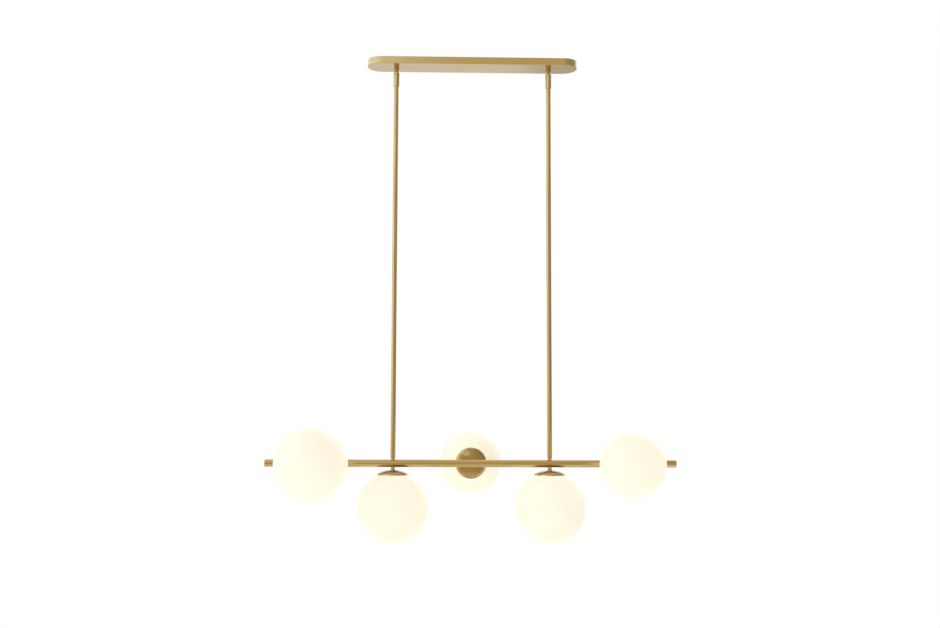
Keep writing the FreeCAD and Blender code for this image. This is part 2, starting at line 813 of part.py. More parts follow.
def all_parts():
    """Every node's name and its solids."""
    parts = {
        "canopy_cover": [canopy_cover()],
        "mounting_bracket": [mounting_bracket()],
        "spigot_nuts": spigot_nuts(),
        "spigot_washers": spigot_washers(),
        "terminal_block": [terminal_block()],
        "bracket_screws": bracket_screws(),
        "rod_inserts": rod_inserts(),
        "rod_nipples": rod_nipples(),
        "rod_feet": rod_feet(),
        "bar_tube": [bar_tube()],
        "bar_bushes": bar_bushes(),
        "bar_end_plugs": bar_end_plugs(),
    }
    for side, x in rod_places.items():
        parts["swivel_seat_" + side] = [swivel_seat(x)]
        parts["ball_stud_" + side] = [ball_stud(x)]
        parts["swivel_barrel_" + side] = [swivel_barrel(x)]
        parts["upper_rod_" + side] = [rod_section(x, rod_seam, barrel_bottom)]
        parts["lower_rod_" + side] = [rod_section(x, rod_bottom, rod_seam)]
    alike = {
        "head_spacers": saddle_spacer(),
        "head_nipples": head_nipple(),
        "head_washers": head_washer(),
        "head_nuts": head_nut(),
        "globe_carriers": globe_carrier(),
        "socket_shells": socket_shell(),
        "socket_contacts": socket_contact(),
    }
    for name, piece in alike.items():
        parts[name] = [on_head(piece, head) for head in heads]
    for head, (place, tilt, globe) in heads.items():
        parts["cap_" + head] = [on_head(cap(), head)]
        parts["lamp_socket_" + head] = [on_head(lamp_socket(), head)]
        parts["globe_collar_" + head] = [on_head(globe_collar(globe), head)]
        parts["glass_globe_" + head] = [on_head(glass_globe(globe), head)]
        parts["bulb_base_" + head] = [on_head(bulb_base(), head)]
        parts["bulb_glass_" + head] = [on_head(bulb_glass(), head)]
    return parts


def main():
    os.makedirs("parts", exist_ok=True)
    for name, solids in all_parts().items():
        shape = solids[0] if len(solids) == 1 else Part.makeCompound(solids)
        shape.exportStep("parts/" + name + ".step")


if __name__ == "__main__":
    main()
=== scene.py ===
"""Linear island pendant: finishes, threads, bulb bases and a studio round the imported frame.

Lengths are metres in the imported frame: +X along the bar, -Y to the viewer, +Z up, and the origin at
the centre of the ceiling plane. A lamp head is drawn in its own frame, whose Z leaves the bar.
"""
import math

import bmesh
import bpy
import numpy as np
from bpy.props import FloatProperty, FloatVectorProperty, IntProperty, PointerProperty
from mathutils import Matrix, Vector


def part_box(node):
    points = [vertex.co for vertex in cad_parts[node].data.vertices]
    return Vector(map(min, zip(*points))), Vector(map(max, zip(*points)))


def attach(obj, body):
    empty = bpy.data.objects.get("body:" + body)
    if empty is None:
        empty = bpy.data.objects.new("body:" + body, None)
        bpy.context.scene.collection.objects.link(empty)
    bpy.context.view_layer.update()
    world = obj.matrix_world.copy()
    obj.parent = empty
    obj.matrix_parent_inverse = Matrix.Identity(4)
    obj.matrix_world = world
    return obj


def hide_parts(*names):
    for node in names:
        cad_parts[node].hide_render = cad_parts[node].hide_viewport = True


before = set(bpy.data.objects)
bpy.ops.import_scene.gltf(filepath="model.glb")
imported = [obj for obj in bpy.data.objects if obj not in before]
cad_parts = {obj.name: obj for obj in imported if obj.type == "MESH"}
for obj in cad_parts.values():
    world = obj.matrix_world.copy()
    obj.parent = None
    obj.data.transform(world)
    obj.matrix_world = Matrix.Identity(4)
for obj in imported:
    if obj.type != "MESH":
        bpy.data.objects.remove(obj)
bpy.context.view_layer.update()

bl_info = {
    "name": "Linear island pendant",
    "version": (1, 0, 0),
    "blender": (4, 5, 0),
    "location": "3D view, sidebar, Pendant",
    "description": "Finishes the packed pendant and sets it in a plain studio",
    "category": "Object",
}

HEADS = ("front_left", "lower_left", "back", "lower_right", "front_right")
MM = 0.001


def linear(code):
    """sRGB hex colour as linear light, with full alpha."""
    parts = [int(code[i:i + 2], 16) / 255 for i in (1, 3, 5)]
    return tuple(p / 12.92 if p <= 0.04045 else ((p + 0.055) / 1.055) ** 2.4 for p in parts) + (1.0,)


def colour(code, name, description):
    """Colour property whose default is an sRGB hex value."""
    return FloatVectorProperty(name=name, description=description, subtype="COLOR", size=4,
                               min=0.0, max=1.0, default=linear(code))


def length(millimetres, name, description):
    """Length property whose default is given in millimetres."""
    return FloatProperty(name=name, description=description, unit="LENGTH", default=millimetres * MM)


class PendantSizes(bpy.types.PropertyGroup):
    """Sizes of the pieces that are built here, in metres."""

    carrier_radius: length(26.0, "Carrier radius", "Crest radius of the thread under the collar")
    carrier_wall: length(1.2, "Carrier wall", "Sheet thickness of the carrier, at the thread's crest")
    carrier_bore: length(4.1, "Carrier bore", "Radius of the hole for the nipple")
    carrier_boss: length(9.0, "Carrier boss", "Radius of the boss against the cap")
    carrier_boss_height: length(3.27, "Boss height", "Height of the boss above the carrier's floor")
    carrier_length: length(11.6, "Carrier length", "Height of the sleeve, floor included")
    carrier_bend: length(2.0, "Carrier bend", "Outer radius between floor and sleeve")
    globe_pitch: length(4.0, "Globe thread pitch", "Advance of a globe for one turn")
    globe_thread_depth: length(0.55, "Globe thread depth", "Depth of the rolled thread")
    base_radius: length(13.0, "Bulb base radius", "Crest radius of the medium screw base")
    base_wall: length(0.35, "Bulb base wall", "Sheet thickness of the screw base")
    base_length: length(27.5, "Bulb base length", "Length from the contact's tip to the rim")
    base_pitch: length(3.629, "Bulb thread pitch", "Seven turns to the inch")
    base_thread_depth: length(0.75, "Bulb thread depth", "Depth of the rounded thread")
    contact_radius: length(4.8, "Contact radius", "Radius of the bulb's centre contact")
    contact_height: length(1.8, "Contact height", "Height of the bulb's centre contact")
    insulator_height: length(4.6, "Insulator height", "Level where the screw shell starts")
    steps_round: IntProperty(name="Steps round", description="Divisions round a turned piece",
                             default=128, min=24)
    steps_pitch: IntProperty(name="Steps per pitch", description="Divisions along one turn of a thread",
                             default=12, min=6)


class PendantColours(bpy.types.PropertyGroup):
    """Colours of the finishes."""

    brass: colour("#C8AF74", "Brass", "Lacquered satin brass of the tubes")
    brass_deep: colour("#B89C60", "Deep brass", "The same brass where the lacquer has toned")
    canopy: colour("#CCB682", "Canopy brass", "Lacquered sheet brass of the canopy")
    canopy_deep: colour("#C3AA74", "Deep canopy brass", "The canopy where the lacquer has toned")
    cap: colour("#B79E63", "Cap brass", "Lacquered spun brass of the caps")
    cap_deep: colour("#A68A4E", "Deep cap brass", "The caps where the lacquer has toned")
    bare_brass: colour("#C7A766", "Bare brass", "Unlacquered turned brass inside")
    zinc: colour("#B9BBB8", "Zinc", "Zinc plate")
    zinc_tint: colour("#A8A99A", "Passivated zinc", "Zinc plate with its yellowish passivation")
    opal: colour("#A19D93", "Opal glass", "Cased opal glass, unlit")
    glow: colour("#FFF3DB", "Glow", "Light of the bulbs through the opal glass")
    frost: colour("#F4F1E8", "Frosted glass", "Bulb glass frosted inside")
    shell: colour("#C9C6BE", "Bulb shell", "Nickel-plated screw shell")
    insulator: colour("#17151A", "Insulator", "Black glass between shell and contact")
    solder: colour("#9B9A96", "Solder", "Soldered centre contact")
    porcelain: colour("#EFEDE6", "Porcelain", "Glazed porcelain")
    plastic: colour("#E9E7E0", "Moulded plastic", "White heat-proof plastic")
    floor: colour("#F4F4F2", "Floor", "Pale studio floor")


class PendantStudio(bpy.types.PropertyGroup):
    """Camera, lamps and floor."""

    lens: FloatProperty(name="Lens", description="Focal length on a 36 mm frame, in millimetres",
                        default=44.26)
    eye: FloatVectorProperty(name="Camera place", description="Place of the camera", size=3,
                             subtype="TRANSLATION", default=(-0.10364, -3.31678, -1.06811))
    yaw: FloatProperty(name="Yaw", description="Turn to the right", subtype="ANGLE", default=0.02966)
    pitch: FloatProperty(name="Pitch", description="Tilt upwards", subtype="ANGLE", default=0.09643)
    roll: FloatProperty(name="Roll", description="Turn about the line of sight", subtype="ANGLE",
                        default=0.00293)
    room: FloatProperty(name="Room light", description="Strength of the white room on plain surfaces",
                        default=0.6)
    glow: FloatProperty(name="Glow", description="Strength of the lit globes", default=0.73)
    floor_level: FloatProperty(name="Floor level", description="Height of the floor", unit="LENGTH",
                               default=-2.6)
    floor_radius: FloatProperty(name="Floor radius", unit="LENGTH", default=2.6,
                                description="Where the floor has faded to plain white")


# Materials

WHITE = (1.0, 1.0, 1.0, 1.0)
# Sockets of a Mix node that mixes colours.
SHARE, UNDER, OVER, MIXED = 0, 6, 7, 2
# Depth in metres of the fine lines that a tool leaves on metal.
FINE_RELIEF = 0.00002


def node(tree, kind, settings=None, links=None):
    """Adds a node with its settings and links. A setting names an input, by label or number, or one of
    the node's own attributes; a link names an input that another node's output feeds."""
    made = tree.nodes.new(kind)
    for key, value in (settings or {}).items():
        if isinstance(key, int) or key in made.inputs:
            made.inputs[key].default_value = value
        else:
            setattr(made, key, value)
    for key, source in (links or {}).items():
        tree.links.new(source, made.inputs[key])
    return made


def new_material(name):
    """Empty node material, and its tree."""
    material = bpy.data.materials.new(name)
    material.use_nodes = True
    material.node_tree.nodes.clear()
    return material, material.node_tree


def shaded(tone, share):
    """A colour made darker, to a share of itself."""
    return tuple(share * part for part in tone[:3]) + (1.0,)


def metal(name, base, toned, roughness, spread, grain, relief=FINE_RELIEF, coat=0.0,
          coat_roughness=0.05, centre=(0, 0, 0), rings=False):
    """Metal with a fine grain left by its tool and slow changes of tone.

    grain is the number of lines per metre along X, Y and Z; rings turns the lines into circles about
    the axis through centre whose grain is zero. relief is their depth in metres, and the roughness
    goes up and down by spread from line to line.
    """
    material, tree = new_material(name)
    place = node(tree, "ShaderNodeTexCoord").outputs["Object"]
    centred = node(tree, "ShaderNodeMapping", {"Location": tuple(-part for part in centre)},
                   {"Vector": place})
    scaled = node(tree, "ShaderNodeMapping", {"Scale": grain}, {"Vector": centred.outputs["Vector"]})
    pattern = {"Scale": 1.0, "Detail": 3.0, "Roughness": 0.6}
    if rings:
        radius = node(tree, "ShaderNodeVectorMath", {"operation": "LENGTH"},
                      {0: scaled.outputs["Vector"]})
        lines = node(tree, "ShaderNodeTexNoise", {"noise_dimensions": "1D", **pattern},
                     {"W": radius.outputs["Value"]})
    else:
        lines = node(tree, "ShaderNodeTexNoise", pattern, {"Vector": scaled.outputs["Vector"]})
    cloud = node(tree, "ShaderNodeTexNoise", {"Scale": 9.0, "Detail": 4.0, "Roughness": 0.55},
                 {"Vector": place})
    tone = node(tree, "ShaderNodeMapRange",
                {"From Min": 0.35, "From Max": 0.75, "To Min": 0.0, "To Max": 0.55},
                {"Value": cloud.outputs["Fac"]})
    tint = node(tree, "ShaderNodeMix", {"data_type": "RGBA", UNDER: base, OVER: toned},
                {SHARE: tone.outputs["Result"]})
    rough = node(tree, "ShaderNodeMapRange",
                 {"From Min": 0.3, "From Max": 0.7, "To Min": roughness - spread,
                  "To Max": roughness + spread}, {"Value": lines.outputs["Fac"]})
    bump = node(tree, "ShaderNodeBump", {"Strength": 0.6, "Distance": relief},
                {"Height": lines.outputs["Fac"]})
    shader = node(tree, "ShaderNodeBsdfPrincipled",
                  {"Metallic": 1.0, "Coat Weight": coat, "Coat Roughness": coat_roughness},
                  {"Base Color": tint.outputs[MIXED], "Roughness": rough.outputs["Result"],
                   "Normal": bump.outputs["Normal"]})
    node(tree, "ShaderNodeOutputMaterial", links={"Surface": shader.outputs["BSDF"]})
    return material


def moulded(name, base, roughness, grain, relief, coat=0.0):
    """Plain moulded or glazed body: one colour with a little cloud in it and a fine surface texture.
    grain is the number of its marks per metre, and relief is their depth in metres."""
    material, tree = new_material(name)
    place = node(tree, "ShaderNodeTexCoord").outputs["Object"]
    cloud = node(tree, "ShaderNodeTexNoise", {"Scale": 40.0, "Detail": 3.0}, {"Vector": place})
    tint = node(tree, "ShaderNodeMix", {"data_type": "RGBA", UNDER: base, OVER: shaded(base, 0.94)},
                {SHARE: cloud.outputs["Fac"]})
    texture = node(tree, "ShaderNodeTexNoise", {"Scale": grain, "Detail": 2.0}, {"Vector": place})
    bump = node(tree, "ShaderNodeBump", {"Strength": 0.5, "Distance": relief},
                {"Height": texture.outputs["Fac"]})
    shader = node(tree, "ShaderNodeBsdfPrincipled",
                  {"Roughness": roughness, "IOR": 1.5, "Coat Weight": coat},
                  {"Base Color": tint.outputs[MIXED], "Normal": bump.outputs["Normal"]})
    node(tree, "ShaderNodeOutputMaterial", links={"Surface": shader.outputs["BSDF"]})
    return material


def zinc_plate(name, colours):
    """Zinc-plated steel, barrel-plated: a soft grey crystal mottle with a faint yellow passivation."""
    material, tree = new_material(name)
    place = node(tree, "ShaderNodeTexCoord").outputs["Object"]
    crystals = node(tree, "ShaderNodeTexVoronoi", {"Scale": 260.0}, {"Vector": place})
    cloud = node(tree, "ShaderNodeTexNoise", {"Scale": 30.0, "Detail": 4.0}, {"Vector": place})
    tint = node(tree, "ShaderNodeMix",
                {"data_type": "RGBA", UNDER: colours.zinc, OVER: colours.zinc_tint},
                {SHARE: cloud.outputs["Fac"]})
    rough = node(tree, "ShaderNodeMapRange", {"To Min": 0.32, "To Max": 0.46},
                 {"Value": crystals.outputs["Distance"]})
    bump = node(tree, "ShaderNodeBump", {"Strength": 0.3, "Distance": 0.00005},
                {"Height": crystals.outputs["Distance"]})
    shader = node(tree, "ShaderNodeBsdfPrincipled", {"Metallic": 1.0},
                  {"Base Color": tint.outputs[MIXED], "Roughness": rough.outputs["Result"],
                   "Normal": bump.outputs["Normal"]})
    node(tree, "ShaderNodeOutputMaterial", links={"Surface": shader.outputs["BSDF"]})
    return material


def lit_glass(name, base, glow, strength, roughness):
    """Lit white glass, blown and satin-etched: an even warm glow that pales towards the rim, with the
    slow thick and thin places of hand-gathered glass."""
    material, tree = new_material(name)
    place = node(tree, "ShaderNodeTexCoord").outputs["Object"]
    gather = node(tree, "ShaderNodeTexNoise", {"Scale": 7.0, "Detail": 1.5, "Roughness": 0.4},
                  {"Vector": place})
    strong = node(tree, "ShaderNodeMapRange",
                  {"From Min": 0.3, "From Max": 0.7, "To Min": 0.96 * strength,
                   "To Max": 1.04 * strength}, {"Value": gather.outputs["Fac"]})
    bump = node(tree, "ShaderNodeBump", {"Strength": 0.15, "Distance": 0.001},
                {"Height": gather.outputs["Fac"]})
    shader = node(tree, "ShaderNodeBsdfPrincipled",
                  {"Base Color": base, "Roughness": roughness, "IOR": 1.5, "Emission Color": glow},
                  {"Emission Strength": strong.outputs["Result"], "Normal": bump.outputs["Normal"]})
    node(tree, "ShaderNodeOutputMaterial", links={"Surface": shader.outputs["BSDF"]})
    return material


def dress(material, *names):
    """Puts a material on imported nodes."""
    for name in names:
        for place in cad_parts[name].material_slots:
            place.material = material


# Turned pieces

def head_matrix(head):
    """Turn and place that take a head's own frame, with Z out of the bar and X along it, into the
    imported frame."""
    low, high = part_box("lamp_socket_" + head)
    bar_low, bar_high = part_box("bar_tube")
    axis = (bar_low + bar_high) / 2
    middle = (low + high) / 2
    out = Vector((0, middle.y - axis.y, middle.z - axis.z)).normalized()
    along = Vector((1, 0, 0))
    third = out.cross(along)
    place = Vector((middle.x, axis.y, axis.z))
    return Matrix((along, third, out)).transposed().to_4x4(), place


def resample(profile, step, first, last):
    """Profile with its runs from point first to point last cut into equal steps no longer than step."""
    points = np.asarray(profile, float)
    pieces = [points[:first]]
    for start, end in zip(points[first:last], points[first + 1:last + 1]):
        count = max(1, math.ceil(np.hypot(*(end - start)) / step))
        share = np.linspace(0.0, 1.0, count, endpoint=False)[:, None]
        pieces.append(start + share * (end - start))
    pieces.append(points[last:])
    return np.concatenate(pieces)


def turned_mesh(name, profile, steps, groove=None, closed=True):
    """Surface of revolution about Z: point (i, j) is profile point i, turned by angle j, and drawn in
    by groove(r, z, angle). A closed profile joins its last point to its first; any point on the axis
    becomes a pole."""
    profile = np.asarray(profile, float)
    angle = np.linspace(0.0, 2 * np.pi, steps, endpoint=False)[None, :]
    radius = np.repeat(profile[:, :1], steps, axis=1)
    level = np.repeat(profile[:, 1:], steps, axis=1)
    if groove is not None:
        radius = radius - groove(radius, level, angle)
    points = np.stack((radius * np.cos(angle), radius * np.sin(angle), level), axis=-1)
    rows = len(profile)
    ids = np.arange(rows * steps).reshape(rows, steps)
    below = ids if closed else ids[:-1]
    above = np.roll(ids, -1, axis=0) if closed else ids[1:]
    faces = np.stack((below, np.roll(below, -1, axis=1), np.roll(above, -1, axis=1), above), axis=-1)
    mesh = bpy.data.meshes.new(name)
    mesh.from_pydata(points.reshape(-1, 3).tolist(), [], faces.reshape(-1, 4).tolist())
    return mesh


def settle(mesh):
    """Closes the poles, turns every face outwards and smooths all but real edges."""
    work = bmesh.new()
    work.from_mesh(mesh)
    bmesh.ops.remove_doubles(work, verts=work.verts, dist=1e-7)
    bmesh.ops.recalc_face_normals(work, faces=work.faces)
    work.to_mesh(mesh)
    work.free()
    mesh.shade_smooth()
    mesh.set_sharp_from_angle(angle=math.radians(40))


def place_piece(name, mesh, material, body, slot, *replaced):
    """Makes a mesh a piece of the pendant that rides on a body."""
    piece = bpy.data.objects.new(name, mesh)
    bpy.context.scene.collection.objects.link(piece)
    mesh.materials.append(material)
    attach(piece, body)
    if replaced:
        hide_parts(*replaced)


def helix(pitch, depth, low, high, sharpness, fade):
    """Groove of a right-hand thread: depth times a wave that is 0 on the crest and 1 in the root, with
    the crest at level pitch times angle over a full turn; it fades in over the length fade at its two
    ends, low and high."""
    def groove(radius, level, angle):
        wave = np.clip(0.5 - sharpness * np.cos(2 * np.pi * level / pitch - angle), 0.0, 1.0)
        ends = np.clip(np.minimum(level - low, high - level) / fade, 0.0, 1.0)
        return depth * wave * ends
    return groove


class PendantOperator:
    """What the operators share."""

    bl_options = {"REGISTER", "UNDO"}

    @property
    def sizes(self):
        return bpy.context.scene.pendant_sizes

    @property
    def colours(self):
        return bpy.context.scene.pendant_colours

    @property
    def studio(self):
        return bpy.context.scene.pendant_studio


class PENDANT_OT_canopy(PendantOperator, bpy.types.Operator):
    """Finish the canopy and the swivels under it"""

    bl_idname = "pendant.canopy"
    bl_label = "Canopy and swivels"

    def execute(self, context):
        tints = self.colours
        # Brass sheet, drawn and then brushed lengthwise: long fine lines under clear lacquer, which
        # turns pale where it is seen at a low angle. The lines are drawn 0.5 mm apart to show.
        sheet = metal("brass_sheet_brushed_lacquered", tints.canopy, tints.canopy_deep,
                      roughness=0.24, spread=0.05, grain=(25.0, 2000.0, 2000.0), coat=1.0,
                      coat_roughness=0.08)
        dress(sheet, "canopy_cover")
        # Brass bar, turned and polished: faint rings round each swivel, bright highlights.
        turned = metal("brass_turned_polished", tints.brass, tints.brass_deep, roughness=0.16,
                       spread=0.04, grain=(30.0, 30.0, 1600.0), coat=1.0)
        for side in ("left", "right"):
            dress(turned, "swivel_seat_" + side, "swivel_barrel_" + side, "ball_stud_" + side)
        dress(turned, "rod_feet", "head_spacers")
        return {"FINISHED"}


class PENDANT_OT_frame(PendantOperator, bpy.types.Operator):
    """Finish the rods and the bar"""

    bl_idname = "pendant.frame"
    bl_label = "Rods and bar"

    def execute(self, context):
        tints = self.colours
        # Drawn brass tube, linished and lacquered: fine lines round the tube that soften its highlights.
        upright = metal("brass_tube_upright_linished", tints.brass, tints.brass_deep, roughness=0.22,
                        spread=0.05, grain=(60.0, 60.0, 1400.0), coat=1.0)
        level = metal("brass_tube_level_linished", tints.brass, tints.brass_deep, roughness=0.22,
                      spread=0.05, grain=(1400.0, 60.0, 60.0), coat=1.0)
        for side in ("left", "right"):
            dress(upright, "upper_rod_" + side, "lower_rod_" + side)
        dress(level, "bar_tube", "bar_end_plugs")
        return {"FINISHED"}


class PENDANT_OT_fittings(PendantOperator, bpy.types.Operator):
    """Finish the bracket, the fittings and the electrical parts"""

    bl_idname = "pendant.fittings"
    bl_label = "Bracket and fittings"

    def execute(self, context):
        tints = self.colours
        dress(zinc_plate("steel_zinc_plated", tints), "mounting_bracket", "spigot_nuts",
              "spigot_washers", "bracket_screws", "rod_nipples", "head_nipples", "head_washers",
              "head_nuts")
        # Brass, turned and left bare: bright, with an even fine mark and no lacquer.
        bare = metal("brass_turned_bare", tints.bare_brass, tints.brass, roughness=0.28, spread=0.06,
                     grain=(900.0, 900.0, 900.0))
        dress(bare, "rod_inserts", "bar_bushes", "socket_contacts", "socket_shells")
        # Urea moulding, matt from the tool's spark-eroded face.
        dress(moulded("urea_moulded_matt", tints.plastic, roughness=0.45, grain=1800.0, relief=0.00003),
              "terminal_block")
        # Porcelain, dry-pressed and glazed: a clear gloss with the faint ripple of the glaze.
        dress(moulded("porcelain_glazed", tints.porcelain, roughness=0.12, grain=120.0, relief=0.00004,
                      coat=0.6),
              *["lamp_socket_" + head for head in HEADS])
        # Polyester, moulded: an even satin.
        dress(moulded("polyester_moulded_satin", tints.plastic, roughness=0.35, grain=900.0,
                      relief=0.00003),
              *["globe_collar_" + head for head in HEADS])
        return {"FINISHED"}


class PENDANT_OT_caps(PendantOperator, bpy.types.Operator):
    """Finish the spun caps"""

    bl_idname = "pendant.caps"
    bl_label = "Caps"

    def execute(self, context):
        tints = self.colours
        for head in HEADS:
            turn, place = head_matrix(head)
            out = turn.col[2]
            # Brass sheet, spun on a former and polished: faint circles about the stem, 0.7 mm apart.
            grain = tuple(0.0 if abs(part) > 0.5 else 1400.0 for part in out[:3])
            spun = metal("brass_spun_lacquered_" + head, tints.cap, tints.cap_deep, roughness=0.2,
                         spread=0.05, grain=grain, coat=1.0, centre=place, rings=True)
            dress(spun, "cap_" + head)
        return {"FINISHED"}


class PENDANT_OT_carriers(PendantOperator, bpy.types.Operator):
    """Build the sleeves with the rolled thread that the globes screw onto"""

    bl_idname = "pendant.carriers"
    bl_label = "Threaded carriers"

    def execute(self, context):
        size = self.sizes
        bar_low, bar_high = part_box("bar_tube")
        end = abs(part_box("globe_carriers")[0].z - (bar_low.z + bar_high.z) / 2)
        floor = end - size.carrier_length
        boss = floor - size.carrier_boss_height
        outer, wall, bend = size.carrier_radius, size.carrier_wall, size.carrier_bend
        inner = outer - wall
        chamfer = 0.35 * bend
        profile = [(size.carrier_bore, boss), (size.carrier_boss, boss), (size.carrier_boss, floor),
                   (outer - bend, floor), (outer - chamfer, floor + chamfer), (outer, floor + bend),
                   (outer, end), (inner, end), (inner, floor + bend), (outer - bend, floor + wall),
                   (size.carrier_bore, floor + wall)]
        profile = resample(profile, size.globe_pitch / size.steps_pitch, 5, 6)
        thread = helix(size.globe_pitch, size.globe_thread_depth, floor + bend,
                       end + size.globe_pitch, sharpness=0.8, fade=bend)

        def groove(radius, level, angle):
            return np.where(radius > outer - MM * 0.01, thread(radius, level, angle), 0.0)

        meshes = []
        for head in HEADS:
            mesh = turned_mesh("carrier", profile, size.steps_round, groove)
            turn, place = head_matrix(head)
            mesh.transform(Matrix.Translation(place) @ turn)
            meshes.append(mesh)
        joined = join_meshes("carrier_threads", meshes)
        settle(joined)
        # Steel sheet, drawn, thread-rolled and zinc-plated: round ridges under a grey mottle.
        place_piece("carrier_threads", joined, zinc_plate("steel_sheet_zinc_plated", self.colours),
                    "hanging_frame", "zinc_steel", "globe_carriers")
        return {"FINISHED"}


def join_meshes(name, meshes):
    """One mesh from several."""
    work = bmesh.new()
    for mesh in meshes:
        work.from_mesh(mesh)
        bpy.data.meshes.remove(mesh)
    joined = bpy.data.meshes.new(name)
    work.to_mesh(joined)
    work.free()
    return joined


class PENDANT_OT_bulb_bases(PendantOperator, bpy.types.Operator):
    """Build each bulb's screw shell, insulator and centre contact"""

    bl_idname = "pendant.bulb_bases"
    bl_label = "Bulb bases"

    def execute(self, context):
        size, tints = self.sizes, self.colours
        # Brass sheet, thread-rolled and nickel-plated: smooth round ridges.
        shell_metal = metal("brass_rolled_nickel_plated", tints.shell, tints.zinc_tint,
                            roughness=0.26, spread=0.05, grain=(400.0, 400.0, 400.0))
        # Black glass, cast in place: dark and glossy, a little wavy.
        black_glass = moulded("glass_cast_black", tints.insulator, roughness=0.12, grain=300.0,
                              relief=0.00005)
        # Lead-free solder, left as it set: dull grey.
        solder = metal("solder_set_dull", tints.solder, tints.zinc_tint, roughness=0.42, spread=0.08,
                       grain=(500.0, 500.0, 500.0), relief=3 * FINE_RELIEF)
        pitch = size.base_pitch
        for head in HEADS:
            turn, place = head_matrix(head)
            low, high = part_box("bulb_base_" + head)
            corner = (turn.inverted() @ (low - place), turn.inverted() @ (high - place))
            tip = min(corner[0].z, corner[1].z)
            matrix = Matrix.Translation(place) @ turn
            start = tip + size.insulator_height
            end = tip + size.base_length
            outer = size.base_radius
            inner = outer - size.base_wall
            rim = end - 0.4 * pitch
            flare = 0.3 * MM
            seat = outer - 2 * size.base_thread_depth
            profile = [(seat, start), (outer - 0.2 * pitch, start + 0.1 * pitch),
                       (outer, start + 0.4 * pitch), (outer, rim), (outer + flare, end),
                       (inner + flare, end), (inner, rim), (inner, start + 0.4 * pitch),
                       (inner - 0.2 * pitch, start + 0.3 * pitch), (seat, start + 0.2 * pitch)]
            step = pitch / size.steps_pitch
            profile = resample(profile, step, 6, 7)
            profile = resample(profile, step, 2, 3)
            thread = helix(pitch, size.base_thread_depth, start, rim, sharpness=0.5,
                           fade=0.8 * pitch)
            shell = turned_mesh("shell", profile, size.steps_round, thread)
            recess = tip + 0.6 * size.contact_height
            profile = [(0.0, recess), (0.8 * size.contact_radius, recess),
                       (size.contact_radius, tip + size.contact_height),
                       (seat - 0.4 * MM, start - 0.3 * MM), (seat, start),
                       (seat, start + 0.2 * pitch), (0.0, start + 0.2 * pitch)]
            cone = turned_mesh("insulator", profile, size.steps_round, closed=False)
            lean = np.linspace(0.0, np.pi / 2, 9)
            dome = np.stack((0.92 * size.contact_radius * np.sin(lean),
                             tip + size.contact_height * (1.0 - np.cos(lean))), axis=-1)
            dome = np.concatenate((dome, [(0.0, tip + size.contact_height)]))
            contact = turned_mesh("contact", dome, size.steps_round // 2, closed=False)
            body = "base_" + head
            for label, mesh, material in (("shell", shell, shell_metal),
                                          ("insulator", cone, black_glass),
                                          ("contact", contact, solder)):
                mesh.transform(matrix)
                settle(mesh)
                replaced = ("bulb_base_" + head,) if label == "shell" else ()
                place_piece("bulb_" + label + "_" + head, mesh, material, body, "shell_aluminium",
                            *replaced)
        return {"FINISHED"}


class PENDANT_OT_glass(PendantOperator, bpy.types.Operator):
    """Finish the opal globes and the bulbs, lit"""

    bl_idname = "pendant.glass"
    bl_label = "Globes and bulbs"

    def execute(self, context):
        tints, studio = self.colours, self.studio
        # Cased opal glass, blown and satin-etched: a soft even light that hides the bulb.
        opal = lit_glass("opal_glass_blown_etched", tints.opal, tints.glow, studio.glow,
                         roughness=0.3)
        # Soda glass, blown and frosted inside: brighter, as it holds the light.
        frosted = lit_glass("glass_frosted_inside", tints.frost, tints.glow, 1.2 * studio.glow,
                            roughness=0.25)
        dress(opal, *["glass_globe_" + head for head in HEADS])
        dress(frosted, *["bulb_glass_" + head for head in HEADS])
        return {"FINISHED"}


# Studio

def flat_floor(level, radius, rings=9, steps_round=96):
    """Round flat floor: rings of points whose radius grows in equal steps, closed at a pole."""
    share = np.linspace(1.0, 0.0, rings)
    profile = np.stack((share * radius, np.full(rings, level)), axis=-1)
    return turned_mesh("studio_floor", profile, steps_round, closed=False)


